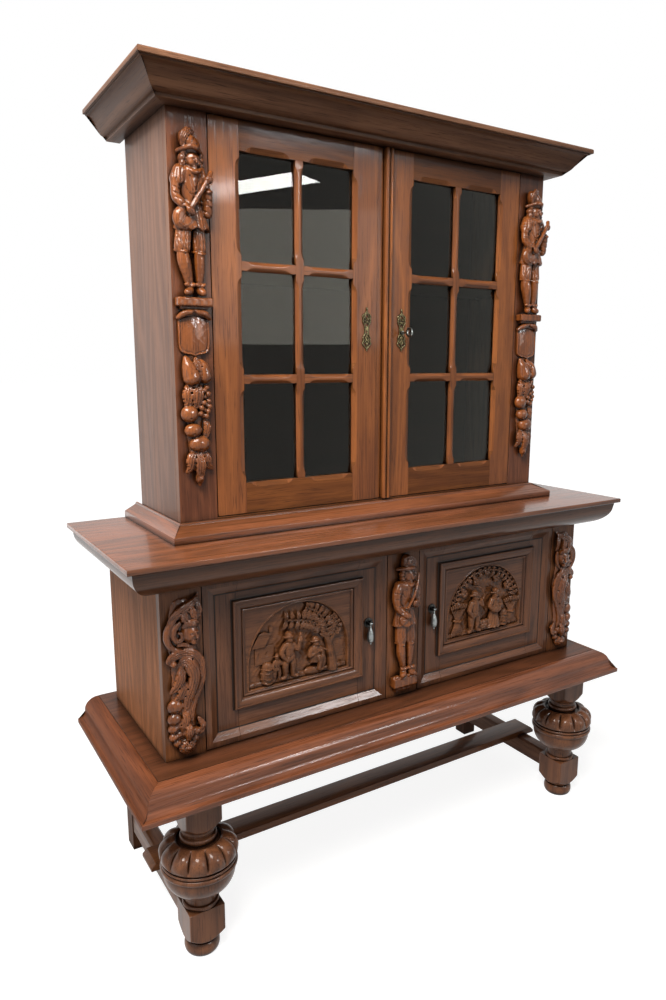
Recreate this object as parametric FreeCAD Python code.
import FreeCAD, Part
import math
import os

V = FreeCAD.Vector
os.makedirs("parts", exist_ok=True)

# Millimetres. Origin on the floor under the middle of the cabinet, front towards -Y, up is +Z.
overall_height = 2000.0
overall_width = 1558.0
overall_depth = 578.0

# Heights of the storeys, counted from the floor
stand_height = 410.0
base_thick = 67.0
table_height = 974.0
table_edge_height = 84.0
plinth_height = 39.0
cornice_height = 67.0

# How far each storey stands in from the one below it
base_projection = 59.0
bulb_stand_out = 10.0
base_ledge_side = 40.0
base_ledge_front = 65.0
upper_inset_side = 97.0
upper_inset_front = 110.0
back_reveal = 39.0
top_projection = 94.0
nose_overhang = 10.0
nose_radius = 10.0
plinth_reach_side = 37.0
plinth_reach_front = 56.0
cornice_reach_side = 89.0
cornice_reach_front = 105.0

# Boards and clearances
side_thick = 20.0
board_thick = 22.0
slab_thick = 28.0
roof_thick = 20.0
face_thick = 22.0
panel_thick = 10.0
shelf_thick = 18.0
door_gap = 2.0
rail_reveal = 1.0
foot_rail_show = 4.0
shelf_gap = 1.0
shelf_set_back = 8.0
shelf_drop = 20.0
shelf_pin_place = 45.0
shelf_pin_radius = 3.0
shelf_pin_seat = 8.0
shelf_pin_length = 20.0
pin_fit = 0.06

# Carved uprights
upper_pilaster_width = 95.0
lower_pilaster_width = 99.0
centre_stile_width = 106.0

# Turned front legs
leg_block = 88.0
leg_inset_side = 155.0
foot_radius = 42.5
bulb_radius = 93.0
lobe_count = 12

# Plain rear legs and stretchers
rear_leg_size = 50.0
rear_leg_inset = 120.0
stretcher_width = 46.0
stretcher_top = 116.0
stretcher_bottom = 62.0
long_stretcher_width = 75.0
long_stretcher_thick = 20.0
long_stretcher_overhang = 64.0
long_stretcher_forward = 30.0
board_end_bevel = 12.0
housing_depth = 5.0
stretcher_chamfer = 6.0
foot_chamfer = 3.0
base_rail_width = 70.0
base_end_rail_width = 130.0

# Glazed doors
meeting_stile = 94.0
hinge_stile = 76.0
glazed_bottom_rail = 77.0
glazed_top_rail = 66.0
bar_width = 22.0
bar_depth = 10.0
glass_thick = 3.0
rebate = 8.0
frame_chamfer = 12.0
bar_chamfer = 7.5
chamfer_depth = 6.0
astragal_width = 25.0
strip_width = 20.0
strip_depth = 4.0

# Panelled doors
rim_width = 14.0
bevel_width = 18.0
bevel_depth = 9.0
frame_flat = 44.0
bottom_rail_more = 6.0
top_rail_less = 22.0
panel_lap = 8.0
bolection_width = 23.0
bolection_lap = 12.0
bolection_rise = 11.0
arch_recess = 4.0
arch_margin_side = 20.0
arch_margin_low = 13.0
arch_margin_high = 14.0

# Pivots, lock and pulls
pivot_radius = 3.0
pivot_inset = 16.0
pivot_set_back = 7.0
pivot_depth = 12.0
pivot_seat = 14.0
key_radius = 2.6
bolt_travel = 14.0
drop_length = 58.0
drop_radius = 8.0

# Planes worked out from the sizes above
y_front = -overall_depth / 2
y_back = overall_depth / 2
board_half = overall_width / 2 - base_projection
board_front = y_front + bulb_stand_out + base_projection
lower_half = board_half - base_ledge_side
lower_front = board_front + base_ledge_front
upper_half = lower_half - upper_inset_side
upper_front = lower_front + upper_inset_front
carcass_back = y_back - back_reveal
base_top = stand_height + base_thick
slab_bottom = table_height - slab_thick
lower_top = table_height - table_edge_height
roof_bottom = overall_height - roof_thick
cornice_bottom = overall_height - cornice_height
plinth_top = table_height + plinth_height
lower_face_back = lower_front + face_thick
upper_face_back = upper_front + face_thick

all_parts = {}


def box(x0, x1, y0, y1, z0, z1):
    return Part.makeBox(x1 - x0, y1 - y0, z1 - z0, V(x0, y0, z0))


def rod(x, y, z, direction, radius, length):
    return Part.makeCylinder(radius, length, V(x, y, z), V(*direction))


def mirrored(shape):
    return shape.mirror(V(0, 0, 0), V(1, 0, 0))


def outward(solid):
    if solid.Volume < 0:
        solid.reverse()
    return solid


def keep(name, *solids):
    all_parts[name] = list(solids)


def keep_pair(stem, *solids):
    keep(stem + "_right", *solids)
    keep(stem + "_left", *[mirrored(solid) for solid in solids])


def quarter(start, end, upright_first, steps=6):
    # quarter of an ellipse between two profile points
    points = []
    for i in range(steps + 1):
        a = math.pi / 2 * i / steps
        if upright_first:
            u, w = 1 - math.cos(a), math.sin(a)
        else:
            u, w = math.sin(a), 1 - math.cos(a)
        points.append((start[0] + (end[0] - start[0]) * u, start[1] + (end[1] - start[1]) * w))
    return points


def ogee(start, end, steps=8):
    # double curve that leaves both ends level
    points = []
    for i in range(steps + 1):
        u = i / steps
        points.append((start[0] + (end[0] - start[0]) * u,
                       start[1] + (end[1] - start[1]) * u * u * (3 - 2 * u)))
    return points


def section(profile, corner, reach, rise):
    # edges of one mitre face: profile points are (share of the reach, height along the rise)
    edges = []
    for points in profile:
        spots = [corner + reach * t + rise * h for t, h in points]
        edges.append(line_or_curve(spots))
    return edges


def line_or_curve(spots):
    if len(spots) == 2:
        return Part.makeLine(spots[0], spots[1])
    curve = Part.BSplineCurve()
    curve.interpolate(spots)
    return curve.toShape()


def strip_between(edge_a, edge_b):
    # flat face between two straight edges, ruled face between two curves
    if isinstance(edge_a.Curve, Part.Line):
        a0, a1 = [vertex.Point for vertex in edge_a.Vertexes]
        b0, b1 = [vertex.Point for vertex in edge_b.Vertexes]
        return Part.Face(Part.makePolygon([a0, a1, b1, b0, a0]))
    return Part.makeRuledSurface(edge_a, edge_b, 1)


def run(profile, corner_a, reach_a, corner_b, reach_b, rise=V(0, 0, 1)):
    # straight length of moulding between two mitre faces
    edges_a = section(profile, corner_a, reach_a, rise)
    edges_b = section(profile, corner_b, reach_b, rise)
    faces = [strip_between(a, b) for a, b in zip(edges_a, edges_b)]
    faces += [Part.Face(Part.Wire(edges_a)), Part.Face(Part.Wire(edges_b))]
    shell = Part.makeShell(faces)
    shell.sewShape()
    return outward(Part.makeSolid(shell))


def apart(a, b):
    return math.hypot(a[0] - b[0], a[1] - b[1]) > 1e-6


def joined(stretches):
    # closes a list of profile stretches into one loop of lines and curves
    profile = []
    here = None
    for stretch in stretches:
        if here is not None and apart(here, stretch[0]):
            profile.append([here, stretch[0]])
        if len(stretch) > 1:
            profile.append(stretch)
        here = stretch[-1]
    if apart(here, stretches[0][0]):
        profile.append([here, stretches[0][0]])
    return profile


def three_sided(profile, half, front, side_reach, front_reach):
    # front length and two returns, mitred at the front corners, square at the back
    left = V(-half, front, 0)
    right = V(half, front, 0)
    out_left = V(-side_reach, -front_reach, 0)
    out_right = V(side_reach, -front_reach, 0)
    face = run(profile, left, out_left, right, out_right)
    back = V(half, y_back, 0)
    return_right = run(profile, right, out_right, back, V(side_reach, 0, 0))
    return [face, return_right, mirrored(return_right)]


def four_sided(profile, x0, x1, y, z0, z1, width):
    # mitred frame lying in an upright plane, profile height towards the front
    rise = V(0, -1, 0)
    corners = [V(x0, y, z0), V(x1, y, z0), V(x1, y, z1), V(x0, y, z1)]
    reaches = [V(width, 0, width), V(-width, 0, width), V(-width, 0, -width), V(width, 0, -width)]
    sides = []
    for i in range(4):
        j = (i + 1) % 4
        sides.append(run(profile, corners[i], reaches[i], corners[j], reaches[j], rise))
    return sides


def turned_edge(spots):
    # lathe profiles are made of straight cuts and round ones
    if len(spots) == 2:
        return Part.makeLine(spots[0], spots[1])
    return Part.Arc(spots[0], spots[len(spots) // 2], spots[-1]).toShape()


def revolved(stretches, x, y):
    # lathe work: stretches of (radius, height) turned about an upright line
    edges = [turned_edge([V(x + r, y, z) for r, z in stretch]) for stretch in joined(stretches)]
    face = Part.Face(Part.Wire(edges))
    return outward(face.revolve(V(x, y, 0), V(0, 0, 1), 360))


def stop_chamfer(edge_start, edge_end, into, deep):
    # cutter for one stopped chamfer: full width in the middle, dying away in curved stops at both ends
    along = edge_end - edge_start
    length = along.Length
    along = along.normalize()
    slope = into - deep
    middle = (into + deep) * 0.5
    margin = 14.0
    stop = 24.0
    places = [(0.0, 0.0), (0.3, 0.62), (0.62, 0.9), (1.0, 1.0)]
    stations = [(margin + stop * u, share) for u, share in places]
    stations += [(length - at, share) for at, share in reversed(stations)]
    wires = []
    for at, share in stations:
        foot = edge_start + along * at
        centre = foot + middle * (share + 0.002)
        points = [foot - middle * 1.6, centre + slope * 0.7, centre - slope * 0.7]
        wires.append(Part.makePolygon(points + [points[0]]))
    return outward(Part.makeLoft(wires, True, True))


# Turned front legs: bun foot, square block, gadrooned bulb on a cup, square top block
leg_x = overall_width / 2 - leg_inset_side
leg_y = y_front + bulb_radius
half_block = leg_block / 2
corner_radius = half_block * math.sqrt(2) + 1
block_low = 38.0
block_high = 126.0
neck_low = 322.0


def front_leg():
    neck = half_block - 5
    foot = revolved([
        [(0, 0), (foot_radius - 10, 0)],
        quarter((foot_radius - 10, 0), (foot_radius, 16), False),
        quarter((foot_radius, 16), (neck - 1, block_low - 6), True),
        [(neck - 1, block_low), (0, block_low)]], leg_x, leg_y)
    square_low = box(leg_x - half_block, leg_x + half_block, leg_y - half_block, leg_y + half_block,
                     block_low, block_high)
    cone_low = revolved([
        [(0, block_low), (neck, block_low)],
        [(corner_radius, block_low + corner_radius - neck), (corner_radius, block_high)],
        [(0, block_high)]], leg_x, leg_y)
    square_high = box(leg_x - half_block, leg_x + half_block, leg_y - half_block, leg_y + half_block,
                      neck_low, stand_height)
    cone_high = revolved([
        [(0, neck_low), (neck, neck_low)],
        [(corner_radius, neck_low + (corner_radius - neck) * 1.1), (corner_radius, stand_height)],
        [(0, stand_height)]], leg_x, leg_y)
    cup_low = 168.0
    cup_high = 222.0
    bead_mid = 232.0
    bead_high = 243.5
    bulb_low = 249.0
    bulb_mid = 266.0
    bulb_high = 297.0
    bead = bulb_radius - 2
    body = revolved([
        [(0, block_high), (neck + 3, block_high)],
        quarter((neck + 3, block_high), (neck + 5, block_high + 5), False, 4),
        quarter((neck + 5, block_high + 5), (neck + 1, block_high + 10), True, 4),
        quarter((neck - 1, block_high + 10), (neck + 3, cup_low - 3), True, 6),
        quarter((neck + 5, cup_low), (bead - 5, cup_high), False, 8),
        [(bead - 5, cup_high + 3)],
        quarter((bead - 4, bead_mid - 6), (bead, bead_mid), False, 4),
        quarter((bead, bead_mid), (bead - 4, bead_mid + 6), True, 4),
        [(bead - 5, bead_mid + 7)],
        quarter((bead - 4, bead_high - 3.5), (bead - 2, bead_high), False, 4),
        quarter((bead - 2, bead_high), (bead - 5, bead_high + 3.5), True, 4),
        [(bead - 7, bulb_low - 1)],
        quarter((bead - 7, bulb_low), (bulb_radius, bulb_mid), False, 6),
        quarter((bulb_radius, bulb_mid), (bulb_radius - 36, bulb_high), True, 8),
        [(bulb_radius - 41, bulb_high - 3), (bulb_radius - 42, bulb_high - 7)],
        [(neck + 2, bulb_high - 6)],
        quarter((neck + 2, bulb_high - 3), (neck + 5, bulb_high + 4), False, 4),
        quarter((neck + 5, bulb_high + 4), (neck + 1, bulb_high + 11), True, 4),
        [(neck - 2, bulb_high + 13)],
        [(neck - 2, neck_low - 6), (neck + 1, neck_low - 4)],
        [(neck + 1, neck_low), (0, neck_low)]], leg_x, leg_y)
    # grooves between the lobes, each a round cutter swung over the shoulder of the bulb
    swing = 33.5
    groove_radius = 3.6
    groove_start = math.radians(-12)
    groove_sweep = 96
    centre_out = bulb_radius - swing
    grooves = []
    for i in range(lobe_count):
        turn = math.radians(360.0 / lobe_count * (i + 0.25))
        out = V(math.cos(turn), math.sin(turn), 0)
        axis = V(math.sin(turn), -math.cos(turn), 0)
        centre = V(leg_x, leg_y, bulb_mid - 1) + out * centre_out
        start = centre + out * (swing * math.cos(groove_start)) + V(0, 0, swing * math.sin(groove_start))
        heading = out * -math.sin(groove_start) + V(0, 0, math.cos(groove_start))
        ring = Part.Face(Part.Wire(Part.makeCircle(groove_radius, start, heading)))
        grooves.append(ring.revolve(centre, axis, groove_sweep))
    body = body.cut(Part.makeCompound([outward(groove) for groove in grooves]))
    leg = foot.fuse([square_low.common(cone_low), body, square_high.common(cone_high)])
    return leg.removeSplitter()


rear_leg_x1 = overall_width / 2 - rear_leg_inset
stretcher_x0 = rear_leg_x1 - stretcher_width - 2
stretcher_x1 = stretcher_x0 + stretcher_width
leg_back = leg_y + half_block
rear_front = y_back - rear_leg_size
tenon = 24.0
tenon_side = 14.0
tenon_edge = 10.0

tenon_box = box(stretcher_x0 + tenon_side, stretcher_x1 - tenon_side, leg_back - tenon, rear_front + tenon,
                stretcher_bottom + tenon_edge, stretcher_top - tenon_edge)
rear_leg = box(rear_leg_x1 - rear_leg_size, rear_leg_x1, rear_front, y_back, 0, stand_height)
foot_edges = [edge for edge in rear_leg.Edges if edge.BoundBox.ZMax < 0.1]
rear_leg = rear_leg.makeChamfer(foot_chamfer, foot_edges)

keep_pair("front_leg", front_leg().cut(tenon_box))
keep_pair("rear_leg", rear_leg.cut(tenon_box))

# Stretchers: moulded side rails tenoned into the legs, and a flat board housed across them
board_y0 = (leg_back + rear_front) / 2 - long_stretcher_width / 2 - long_stretcher_forward
board_y1 = board_y0 + long_stretcher_width
board_z0 = stretcher_top - housing_depth
board_z1 = board_z0 + long_stretcher_thick
board_x1 = leg_x + long_stretcher_overhang
side_rail = box(stretcher_x0, stretcher_x1, leg_back, rear_front, stretcher_bottom, stretcher_top)
top_edges = [edge for edge in side_rail.Edges
             if edge.BoundBox.ZMin > stretcher_top - 0.1 and edge.BoundBox.YLength > 10]
side_rail = side_rail.makeChamfer(stretcher_chamfer, top_edges).fuse(tenon_box)
board_space = box(-board_x1, board_x1, board_y0, board_y1, board_z0, board_z1)
keep_pair("side_stretcher", side_rail.cut(board_space).removeSplitter())
end_edges = [edge for edge in board_space.Edges
             if edge.BoundBox.ZMin > board_z1 - 0.1 and edge.BoundBox.XLength < 1]
keep("long_stretcher", board_space.makeChamfer(board_end_bevel, end_edges))

# Base: rails on the legs, a board on the rails and a mitred moulding round three sides
rail_top = base_top - board_thick
end_rail_y0 = board_front + base_rail_width
end_rail_y1 = y_back - base_rail_width
front_rail = box(-board_half, board_half, board_front, end_rail_y0, stand_height, rail_top)
back_rail = box(-board_half, board_half, end_rail_y1, y_back, stand_height, rail_top)
end_rail = box(board_half - base_end_rail_width, board_half, end_rail_y0, end_rail_y1, stand_height, rail_top)
keep("base_rails", front_rail, back_rail, end_rail, mirrored(end_rail))

b = base_top
base_profile = joined([
    [(0, stand_height), (1, stand_height)],
    [(1, stand_height + 11)],
    [(0.85, stand_height + 15)],
    quarter((0.85, stand_height + 15), (0.62, b - 39), True, 6),
    [(0.62, b - 36)],
    quarter((0.62, b - 36), (0.36, b - 24), False, 6),
    [(0.36, b - 21)],
    quarter((0.36, b - 21), (0.02, b - 1), True, 6),
    [(0, b - 1)]])
keep("base_moulding", *three_sided(base_profile, board_half, board_front, base_projection, base_projection))

# Lower carcass
pil_x0 = lower_half - lower_pilaster_width
stile_half = centre_stile_width / 2
top_rail_bottom = lower_top + rail_reveal
lower_pilaster = box(pil_x0, lower_half, lower_front, lower_face_back, base_top, slab_bottom)
lower_side = box(lower_half - side_thick, lower_half, lower_face_back, carcass_back, base_top, slab_bottom)
centre_stile = box(-stile_half, stile_half, lower_front, lower_face_back, base_top, slab_bottom)
top_rail = box(stile_half, pil_x0, lower_front, lower_face_back, top_rail_bottom, slab_bottom)
partition = box(-side_thick / 2, side_thick / 2, lower_face_back, carcass_back - panel_thick,
                base_top, slab_bottom)
lower_back = box(-lower_half + side_thick, lower_half - side_thick, carcass_back - panel_thick, carcass_back,
                 base_top, slab_bottom)

# Pivots of the panelled doors
low_door_x0 = stile_half + door_gap
low_door_x1 = pil_x0 - door_gap
low_door_z0 = base_top + door_gap
low_door_z1 = top_rail_bottom - door_gap
pivot_length = pivot_seat + door_gap + pivot_depth
low_pivot_x = low_door_x1 - pivot_inset
low_pivot_y = lower_front + pivot_set_back
low_pivots = [
    rod(low_pivot_x, low_pivot_y, base_top - pivot_seat, (0, 0, 1), pivot_radius, pivot_length),
    rod(low_pivot_x, low_pivot_y, low_door_z1 - pivot_depth, (0, 0, 1), pivot_radius, pivot_length)]
base_board = box(-board_half, board_half, board_front, y_back, rail_top, base_top)
base_board = base_board.cut([low_pivots[0], mirrored(low_pivots[0])])
keep("base_board", base_board)
top_rail = top_rail.cut(low_pivots[1])
keep("lower_top_rails", top_rail, mirrored(top_rail))

# Shelf and its pins on each side of the partition
shelf_z = (base_top + slab_bottom) / 2 - shelf_drop
shelf_y0 = lower_face_back + shelf_set_back
shelf_y1 = carcass_back - panel_thick - shelf_gap
low_shelf = box(side_thick / 2 + shelf_gap, lower_half - side_thick - shelf_gap, shelf_y0, shelf_y1,
                shelf_z, shelf_z + shelf_thick)
low_pins = []
for y in (shelf_y0 + shelf_pin_place, shelf_y1 - shelf_pin_place):
    z = shelf_z - shelf_pin_radius
    low_pins.append(rod(side_thick / 2 - shelf_pin_seat, y, z, (1, 0, 0), shelf_pin_radius, shelf_pin_length))
    low_pins.append(rod(lower_half - side_thick + shelf_pin_seat, y, z, (-1, 0, 0), shelf_pin_radius,
                        shelf_pin_length))
keep("lower_shelves", low_shelf, mirrored(low_shelf))
keep_pair("lower_side", lower_side.cut(low_pins))
keep("lower_partition", partition.cut(low_pins + [mirrored(pin) for pin in low_pins]))
keep_pair("lower_pilaster", lower_pilaster)
keep("centre_stile", centre_stile)
keep("lower_back_panel", lower_back)

# Sideboard top: nosed slab over a heavy quarter-round moulding
slab_half = lower_half + top_projection
slab = box(-slab_half, slab_half, lower_front - top_projection, y_back, slab_bottom, table_height)
nose_edges = []
for edge in slab.Edges:
    bound = edge.BoundBox
    if bound.ZLength < 0.1 and bound.YMax < y_back - 1:
        nose_edges.append(edge)
    elif bound.ZLength < 0.1 and bound.YLength > 10:
        nose_edges.append(edge)
keep("sideboard_top", slab.makeFillet(nose_radius, nose_edges))
quarter_profile = joined([
    [(0, slab_bottom), (1, slab_bottom)],
    [(1, slab_bottom - 5), (0.96, slab_bottom - 5)],
    [(0.96, slab_bottom - 9)],
    quarter((0.96, slab_bottom - 9), (0.1, lower_top + 2), True, 8),
    [(0.1, lower_top), (0, lower_top)]])
ovolo_reach = top_projection - nose_overhang
keep("top_moulding", *three_sided(quarter_profile, lower_half, lower_front, ovolo_reach, ovolo_reach))

# Upper carcass
up_pil_x0 = upper_half - upper_pilaster_width
up_door_z0 = plinth_top + foot_rail_show + door_gap
up_door_z1 = cornice_bottom - door_gap
up_rail_top = up_door_z0 - door_gap
upper_pilaster = box(up_pil_x0, upper_half, upper_front, upper_face_back, table_height, roof_bottom)
upper_side = box(upper_half - side_thick, upper_half, upper_face_back, carcass_back, table_height, roof_bottom)
upper_floor = box(-upper_half + side_thick, upper_half - side_thick, upper_face_back,
                  carcass_back - panel_thick, up_rail_top - side_thick, up_rail_top)
upper_back = box(-upper_half + side_thick, upper_half - side_thick, carcass_back - panel_thick, carcass_back,
                 table_height, roof_bottom)
keep("upper_roof", box(-upper_half, upper_half, upper_front, y_back, roof_bottom, overall_height))
keep("upper_back_panel", upper_back)
keep("upper_floor", upper_floor)
keep_pair("upper_pilaster", upper_pilaster)

# Shelves level with the glazing bars
sight_z0 = up_door_z0 + glazed_bottom_rail
sight_z1 = up_door_z1 - glazed_top_rail
pane_high = (sight_z1 - sight_z0 - 2 * bar_width) / 3
bar_levels = [sight_z0 + pane_high + bar_width / 2, sight_z0 + 2 * pane_high + 1.5 * bar_width]
up_shelf_y0 = upper_face_back + shelf_set_back
up_shelf_y1 = carcass_back - panel_thick - shelf_gap
up_shelves = []
up_pins = []
for level in bar_levels:
    z = level - shelf_thick / 2
    up_shelves.append(box(-upper_half + side_thick + shelf_gap, upper_half - side_thick - shelf_gap,
                          up_shelf_y0, up_shelf_y1, z, z + shelf_thick))
    for y in (up_shelf_y0 + shelf_pin_place, up_shelf_y1 - shelf_pin_place):
        up_pins.append(rod(upper_half - side_thick + shelf_pin_seat, y, z - shelf_pin_radius, (-1, 0, 0),
                           shelf_pin_radius, shelf_pin_length))
keep("upper_shelves", *up_shelves)
keep_pair("upper_side", upper_side.cut(up_pins))
half_pins = low_pins + up_pins
keep("shelf_pins", *(half_pins + [mirrored(pin) for pin in half_pins]))

plinth_profile = joined([
    [(0, table_height), (1, table_height)],
    [(1, table_height + 17)],
    [(0.16, plinth_top - 5)],
    [(0.16, plinth_top - 2), (0.08, plinth_top)],
    [(0, plinth_top)]])
keep("plinth_moulding", *three_sided(plinth_profile, upper_half, upper_front, plinth_reach_side,
                                       plinth_reach_front))

c = cornice_bottom
cornice_profile = joined([
    [(0, c), (0.34, c)],
    [(0.34, c + 5)],
    [(0.4, c + 5), (0.4, c + 10)],
    ogee((0.4, c + 10), (0.93, overall_height - 16)),
    [(0.93, overall_height - 13)],
    [(1, overall_height - 13), (1, overall_height - 5)],
    quarter((1, overall_height - 5), (0.95, overall_height), True, 4),
    [(0, overall_height)]])
keep("cornice", *three_sided(cornice_profile, upper_half, upper_front, cornice_reach_side, cornice_reach_front))

# Pivots of the glazed doors
up_door_x0 = door_gap / 2
up_door_x1 = up_pil_x0 - door_gap
up_pivot_x = up_door_x1 - pivot_inset
up_pivot_y = upper_front + pivot_set_back
up_pivots = [
    rod(up_pivot_x, up_pivot_y, up_rail_top - pivot_seat, (0, 0, 1), pivot_radius, pivot_length),
    rod(up_pivot_x, up_pivot_y, up_door_z1 - pivot_depth, (0, 0, 1), pivot_radius, pivot_length)]
all_pivots = low_pivots + up_pivots
keep("pivot_pins", *(all_pivots + [mirrored(pin) for pin in all_pivots]))


def pivot_holes(x, y, z0, z1):
    radius = pivot_radius + pin_fit
    return [rod(x, y, z0 - 1, (0, 0, 1), radius, pivot_depth + 2),
            rod(x, y, z1 - pivot_depth - 1, (0, 0, 1), radius, pivot_depth + 2)]


# Flush bolts of the left glazed door shoot into the rails above and below it
flush_place = 30.0
flush_x = -up_door_x0 - flush_place
flush_end = 6.0
flush_knob_radius = 4.0
flush_knob_reach = 7.0
flush_knob_place = 14.0
flush_half = 5.0
flush_deep = 6.0
flush_long = 80.0
flush_play = 0.3
flush_travel = 14.0


def flush_bolt(z0, z1, knob_z):
    bar = box(flush_x - flush_half, flush_x + flush_half, upper_face_back - flush_deep, upper_face_back, z0, z1)
    return bar.fuse(rod(flush_x, upper_face_back - 1, knob_z, (0, 1, 0), flush_knob_radius, flush_knob_reach + 1))


def flush_channel(z0, z1):
    return box(flush_x - flush_half - flush_play, flush_x + flush_half + flush_play,
               upper_face_back - flush_deep - flush_play, upper_face_back + 1, z0, z1)


top_bolt_z1 = up_door_z1 - flush_end
low_bolt_z0 = up_door_z0 + flush_end
top_bolt_z0 = top_bolt_z1 - flush_long
low_bolt_z1 = low_bolt_z0 + flush_long
keep("top_flush_bolt", flush_bolt(top_bolt_z0, top_bolt_z1, top_bolt_z0 + flush_knob_place))
keep("bottom_flush_bolt", flush_bolt(low_bolt_z0, low_bolt_z1, low_bolt_z1 - flush_knob_place))
top_channel = flush_channel(top_bolt_z0 - flush_play, up_door_z1 + flush_travel)
low_channel = flush_channel(up_door_z0 - flush_travel, low_bolt_z1 + flush_play)

foot_rail = box(-up_pil_x0, up_pil_x0, upper_front, upper_face_back, table_height, up_rail_top)
head_rail = box(-up_pil_x0, up_pil_x0, upper_front, upper_face_back, cornice_bottom, roof_bottom)
foot_rail = foot_rail.cut([up_pivots[0], mirrored(up_pivots[0]), low_channel])
head_rail = head_rail.cut([up_pivots[1], mirrored(up_pivots[1]), top_channel])
keep("upper_face_rails", foot_rail, head_rail)

# Glazed doors: tenoned frame with six panes, bars and stopped chamfers
sight_x0 = up_door_x0 + meeting_stile
sight_x1 = up_door_x1 - hinge_stile
pane_wide = (sight_x1 - sight_x0 - bar_width) / 2
glass_front = upper_front + bar_depth
columns = [(sight_x0, sight_x0 + pane_wide), (sight_x1 - pane_wide, sight_x1)]
rows = [(sight_z0 + i * (pane_high + bar_width), sight_z0 + i * (pane_high + bar_width) + pane_high)
        for i in range(3)]


def chamfer_width(at_frame):
    return frame_chamfer if at_frame else bar_chamfer


chamfers = []
for col, (x0, x1) in enumerate(columns):
    for row, (z0, z1) in enumerate(rows):
        deep = V(0, chamfer_depth, 0)
        y = upper_front
        spots = [
            (V(x0, y, z0), V(x0, y, z1), V(-chamfer_width(col == 0), 0, 0)),
            (V(x1, y, z0), V(x1, y, z1), V(chamfer_width(col == 1), 0, 0)),
            (V(x0, y, z0), V(x1, y, z0), V(0, 0, -chamfer_width(row == 0))),
            (V(x0, y, z1), V(x1, y, z1), V(0, 0, chamfer_width(row == 2)))]
        chamfers += [stop_chamfer(start, end, into, deep) for start, end, into in spots]

bolt_clear = 14.0
pivot_clear = 15.0
tenon_in = meeting_stile - flush_place - flush_half - bolt_clear
tenon_out = hinge_stile - pivot_inset - pivot_clear
tenon_shoulder = 15.0
tenon_y0 = upper_front + 12.0
tenon_y1 = upper_face_back - 4.0
glass_space = box(sight_x0 - rebate, sight_x1 + rebate, glass_front, upper_face_back + 1,
                  sight_z0 - rebate, sight_z1 + rebate)
tenon_low = box(sight_x0 - tenon_in, sight_x1 + tenon_out, tenon_y0, tenon_y1,
                up_door_z0 + tenon_shoulder, sight_z0 - tenon_shoulder)
tenon_high = box(sight_x0 - tenon_in, sight_x1 + tenon_out, tenon_y0, tenon_y1,
                 sight_z1 + tenon_shoulder, up_door_z1 - tenon_shoulder)
stile_in = box(up_door_x0, sight_x0, upper_front, upper_face_back, up_door_z0, up_door_z1)
stile_out = box(sight_x1, up_door_x1, upper_front, upper_face_back, up_door_z0, up_door_z1)
rail_low = box(sight_x0, sight_x1, upper_front, upper_face_back, up_door_z0, sight_z0)
rail_high = box(sight_x0, sight_x1, upper_front, upper_face_back, sight_z1, up_door_z1)
tenons = [tenon_low, tenon_high]
stile_in = stile_in.cut(tenons + [glass_space] + chamfers)
stile_out = stile_out.cut(tenons + [glass_space] + chamfers
                          + pivot_holes(up_pivot_x, up_pivot_y, up_door_z0, up_door_z1))
rail_low = rail_low.fuse(tenon_low).cut([glass_space] + chamfers)
rail_high = rail_high.fuse(tenon_high).cut([glass_space] + chamfers)

tongue = bar_width / 2 - rebate
bar_x = (sight_x0 + sight_x1) / 2
upright = box(bar_x - bar_width / 2, bar_x + bar_width / 2, upper_front, glass_front, sight_z0, sight_z1)
upright = upright.fuse(box(bar_x - tongue, bar_x + tongue, glass_front, upper_face_back,
                           sight_z0 - rebate, sight_z1 + rebate))
bars = [upright.cut(chamfers)]
for z in bar_levels:
    face = box(sight_x0, sight_x1, upper_front, glass_front, z - bar_width / 2, z + bar_width / 2)
    spine = box(sight_x0 - rebate, sight_x1 + rebate, glass_front, upper_face_back, z - tongue, z + tongue)
    pieces = face.fuse(spine).cut([upright] + chamfers)
    bars += pieces.Solids
panes = []
beads = []
for x0, x1 in columns:
    for z0, z1 in rows:
        outer = (x0 - rebate, x1 + rebate, z0 - rebate, z1 + rebate)
        panes.append(box(outer[0], outer[1], glass_front, glass_front + glass_thick, outer[2], outer[3]))
        ring = box(outer[0], outer[1], glass_front + glass_thick, upper_face_back, outer[2], outer[3])
        hollow = box(x0, x1, glass_front, upper_face_back + 1, z0, z1)
        beads.append(ring.cut(hollow))
keep_pair("glazing_bars", *bars)
keep_pair("glass_beads", *beads)
keep_pair("panes", *panes)

# Lock: case let into the back of the right meeting stile, bolt above the key
key_x = up_door_x0 + meeting_stile * 0.64
key_z = (up_door_z0 + up_door_z1) / 2 - 6
bolt_z0 = key_z + 18
bolt_z1 = key_z + 30
case_x0 = up_door_x0 + 34
case_x1 = up_door_x0 + meeting_stile - 10
case_front = upper_front + 6
bolt_y0 = case_front + 5
bolt_y1 = bolt_y0 + 6
bolt_play = 0.3
case_space = box(case_x0, case_x1, case_front, upper_face_back, key_z - 36, key_z + 42)
bolt_slot = box(-up_door_x0 - bolt_travel - 4, case_x1 - 4, bolt_y0 - bolt_play, bolt_y1 + bolt_play,
                bolt_z0 - bolt_play, bolt_z1 + bolt_play)
key_hole = rod(key_x, upper_front - 5, key_z, (0, 1, 0), key_radius + pin_fit, 30)
key_room = rod(key_x, case_front + 3, key_z, (0, 1, 0), 13, 10)
keep("lock_case", case_space.cut([bolt_slot, key_hole, key_room]))
keep("lock_bolt", box(up_door_x0 + 3, case_x1 - 8 - bolt_travel / 2, bolt_y0, bolt_y1, bolt_z0, bolt_z1))
shank = rod(key_x, upper_front - 26, key_z, (0, 1, 0), key_radius, 26 + 18)
bit = box(key_x - 1.5, key_x + 1.5, case_front + 5, case_front + 11, key_z - 11, key_z)
collar = rod(key_x, upper_front - 9, key_z, (0, 1, 0), 4.5, 5)
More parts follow.
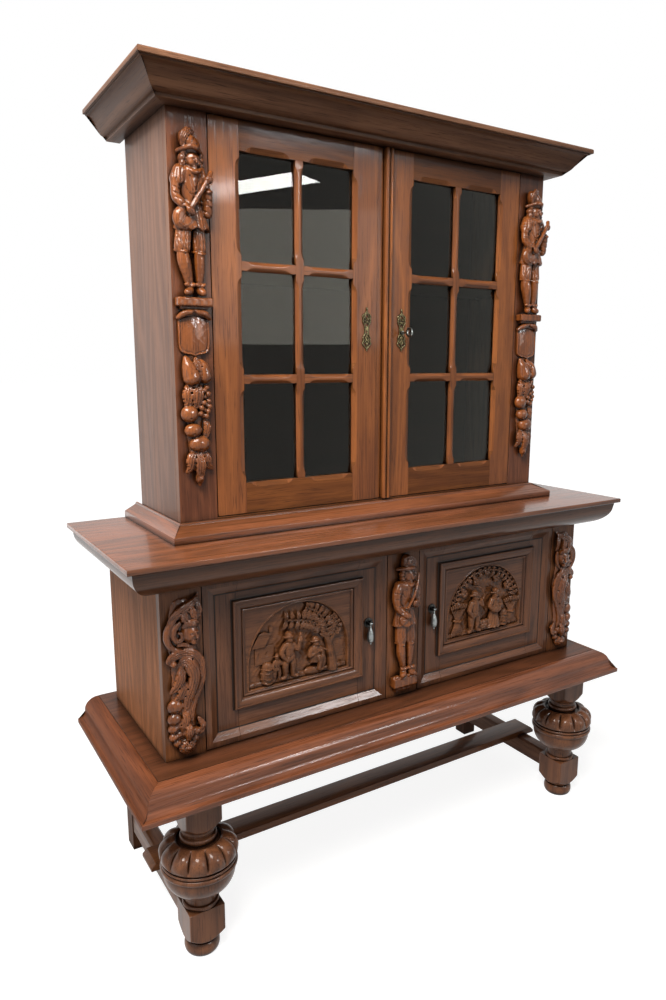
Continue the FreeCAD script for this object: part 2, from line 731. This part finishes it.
bow = rod(key_x - 2, upper_front - 37, key_z, (1, 0, 0), 13, 4)
bow = bow.cut(rod(key_x - 3, upper_front - 37, key_z, (1, 0, 0), 7.5, 6))
keep("key", shank.fuse([bit, collar, bow]).removeSplitter())

# Escutcheons: pierced plates of brass, keyhole in the middle
plate_thick = 2.0


def escutcheon(x):
    z = key_z + 8
    y = upper_front - plate_thick
    discs = [(0, 0, 14), (0, 17, 11), (0, -19, 11), (0, 35, 9.5), (0, -37, 9.5), (0, 50, 6), (0, -52, 6),
             (9, 27, 5), (-9, 27, 5), (9, -29, 5), (-9, -29, 5)]
    rods = [rod(x + dx, y, z + dz, (0, 1, 0), radius, plate_thick) for dx, dz, radius in discs]
    plate = rods[0].fuse(rods[1:]).removeSplitter()
    slot = box(x - 1.4, x + 1.4, y - 1, upper_front + 1, key_z - 12, key_z)
    return plate.cut([slot, rod(x, y - 1, key_z, (0, 1, 0), key_radius + pin_fit, 4)])


keep("escutcheon_right", escutcheon(key_x))
keep("escutcheon_left", escutcheon(-key_x + 8))

lock_stile = stile_in.cut([case_space, bolt_slot, key_hole])
strip = box(-up_door_x0 - strip_width, 0, upper_front - 1, upper_front + strip_depth,
            up_door_z0 - 1, up_door_z1 + 1)
plain_stile = mirrored(stile_in).cut([strip, bolt_slot, top_channel, low_channel])
keep("glazed_frame_right", lock_stile, stile_out, rail_low, rail_high)
keep("glazed_frame_left", plain_stile, mirrored(stile_out), mirrored(rail_low), mirrored(rail_high))

# Astragal with two beads on the meeting edge of the right door
a0 = up_door_x0
a1 = up_door_x0 + astragal_width
mid = (a0 + a1) / 2
bead_base = upper_front - 5
bead_top = upper_front - 10
outline = [
    Part.makeLine(V(a0, upper_front, 0), V(a0, bead_base, 0)),
    Part.Arc(V(a0, bead_base, 0), V((a0 + mid - 1) / 2, bead_top, 0), V(mid - 1, bead_base, 0)).toShape(),
    Part.makeLine(V(mid - 1, bead_base, 0), V(mid + 1, bead_base, 0)),
    Part.Arc(V(mid + 1, bead_base, 0), V((a1 + mid + 1) / 2, bead_top, 0), V(a1, bead_base, 0)).toShape(),
    Part.makeLine(V(a1, bead_base, 0), V(a1, upper_front, 0)),
    Part.makeLine(V(a1, upper_front, 0), V(a0, upper_front, 0))]
astragal = Part.Face(Part.Wire(outline)).extrude(V(0, 0, up_door_z1 - up_door_z0))
astragal.translate(V(0, 0, up_door_z0))
keep("astragal", outward(astragal))

# Panelled doors: frame with a bevelled rim, mitred moulding and a panel with an arched recess
flat_y = lower_front + bevel_depth
low_door_back = lower_face_back
recess = rim_width + bevel_width
mould_x0 = low_door_x0 + recess + frame_flat
mould_x1 = low_door_x1 - recess - frame_flat
mould_z0 = low_door_z0 + recess + frame_flat + bottom_rail_more
mould_z1 = low_door_z1 - recess - frame_flat + top_rail_less
hole_x0 = mould_x0 + bolection_lap
hole_x1 = mould_x1 - bolection_lap
hole_z0 = mould_z0 + bolection_lap
hole_z1 = mould_z1 - bolection_lap
panel_front = low_door_back - panel_thick


def bevel_cutter():
    wires = []
    for inset, y in ((rim_width - 2 * bevel_width / bevel_depth, lower_front - 2), (recess, flat_y)):
        x0, x1 = low_door_x0 + inset, low_door_x1 - inset
        z0, z1 = low_door_z0 + inset, low_door_z1 - inset
        corners = [V(x0, y, z0), V(x1, y, z0), V(x1, y, z1), V(x0, y, z1)]
        wires.append(Part.makePolygon(corners + [corners[0]]))
    return outward(Part.makeLoft(wires, True, True))


frame = box(low_door_x0, low_door_x1, lower_front, low_door_back, low_door_z0, low_door_z1)
panel_space = box(hole_x0 - panel_lap, hole_x1 + panel_lap, panel_front, low_door_back + 1,
                  hole_z0 - panel_lap, hole_z1 + panel_lap)
frame = frame.cut([box(hole_x0, hole_x1, lower_front - 1, low_door_back + 1, hole_z0, hole_z1),
                   bevel_cutter(), panel_space]
                  + pivot_holes(low_pivot_x, low_pivot_y, low_door_z0, low_door_z1))
bars_at = [
    box(low_door_x0, hole_x0, lower_front, low_door_back, low_door_z0, low_door_z1),
    box(hole_x1, low_door_x1, lower_front, low_door_back, low_door_z0, low_door_z1),
    box(hole_x0, hole_x1, lower_front, low_door_back, low_door_z0, hole_z0),
    box(hole_x0, hole_x1, lower_front, low_door_back, hole_z1, low_door_z1)]
keep_pair("panelled_frame", *[frame.common(part) for part in bars_at])

lap_share = bolection_lap / bolection_width
step_down = panel_front - flat_y
bolection_profile = joined([
    [(0, 0), (0, bolection_rise - 2)],
    quarter((0, bolection_rise - 2), (0.16, bolection_rise), True, 4),
    [(0.3, bolection_rise)],
    [(0.34, bolection_rise - 2)],
    ogee((0.34, bolection_rise - 2), (0.95, 1 - step_down), 8),
    [(1, 1 - step_down), (1, -step_down)],
    [(lap_share, -step_down), (lap_share, 0)]])
bolection = four_sided(bolection_profile, mould_x0, mould_x1, flat_y, mould_z0, mould_z1, bolection_width)
keep_pair("bolection", *bolection)

panel = box(hole_x0 - panel_lap, hole_x1 + panel_lap, panel_front, low_door_back,
            hole_z0 - panel_lap, hole_z1 + panel_lap)
sight_mid = (mould_x0 + mould_x1) / 2
arch_half = (mould_x1 - mould_x0) / 2 - bolection_width - arch_margin_side
arch_z0 = mould_z0 + bolection_width + arch_margin_low
arch_z1 = mould_z1 - bolection_width - arch_margin_high
spring = max(arch_z1 - arch_half, arch_z0 + 20)
jambs = box(sight_mid - arch_half, sight_mid + arch_half, panel_front - 1, panel_front + arch_recess, arch_z0, spring)
crown = rod(sight_mid, panel_front - 1, spring, (0, 1, 0), arch_half, arch_recess + 1)
limit = box(sight_mid - arch_half, sight_mid + arch_half, panel_front - 1, panel_front + arch_recess,
            spring - 1, arch_z1)
keep_pair("arched_panel", panel.cut(jambs.fuse(crown.common(limit)).removeSplitter()))

# Drop pulls: eared plate on the inner stile of each panelled door, pear drop on a cross pin
pull_x = low_door_x0 + recess + frame_flat / 2
pull_z = (mould_z0 + mould_z1) / 2 + 8.0
pull_plate_radius = 13.0
pull_plate_thick = 2.0
ear_play = 0.3
ear_reach = 12.0
ear_radius = 4.0
pin_y = flat_y - ear_reach
eye_half = 3.0
ear_thick = 2.5
cross_pin = 1.5
plate = rod(pull_x, flat_y - pull_plate_thick, pull_z, (0, 1, 0), pull_plate_radius, pull_plate_thick)
pull_solids = [plate]
for side in (-1, 1):
    x = pull_x + side * (eye_half + ear_play) + (0 if side > 0 else -ear_thick)
    ear = box(x, x + ear_thick, pin_y, flat_y - 1, pull_z - ear_radius, pull_z + ear_radius)
    pull_solids.append(ear.fuse(rod(x, pin_y, pull_z, (1, 0, 0), ear_radius, ear_thick)))
half_pin = eye_half + ear_play + ear_thick
pull_solids.append(rod(pull_x - half_pin, pin_y, pull_z, (1, 0, 0), cross_pin, half_pin * 2))
keep_pair("pull_plate", pull_solids[0].fuse(pull_solids[1:]).removeSplitter())


def ball_arc(radius, centre_z, high_angle, low_angle):
    # stretch of a lathe profile that turns into part of a ball
    angles = [math.radians(high_angle + (low_angle - high_angle) * i / 4) for i in range(5)]
    return [(max(radius * math.cos(a), 0.0), centre_z + radius * math.sin(a)) for a in angles]


stem_radius = 2.2
stem_length = 12.0
tip_radius = 2.5
tip = pull_z - drop_length
pear_z = tip + drop_radius + 5
pear_low = -math.degrees(math.acos(tip_radius / drop_radius))
drop = revolved([
    [(0, pull_z - 2.6)],
    [(stem_radius, pull_z - 2.6), (stem_radius, pull_z - stem_length)],
    quarter((stem_radius, pull_z - stem_length), (drop_radius, pear_z), False),
    ball_arc(drop_radius, pear_z, 0, pear_low),
    ball_arc(tip_radius, tip + tip_radius, 0, -90)], pull_x, pin_y)
eye = rod(pull_x - eye_half, pin_y, pull_z, (1, 0, 0), ear_radius - 0.4, eye_half * 2)
hole = rod(pull_x - eye_half - 1, pin_y, pull_z, (1, 0, 0), cross_pin + pin_fit, eye_half * 2 + 2)
keep_pair("pull_drop", drop.fuse(eye).cut(hole))

for name, solids in all_parts.items():
    shape = solids[0] if len(solids) == 1 else Part.makeCompound(solids)
    shape.exportStep("parts/" + name + ".step")
print(len(all_parts), "parts written")
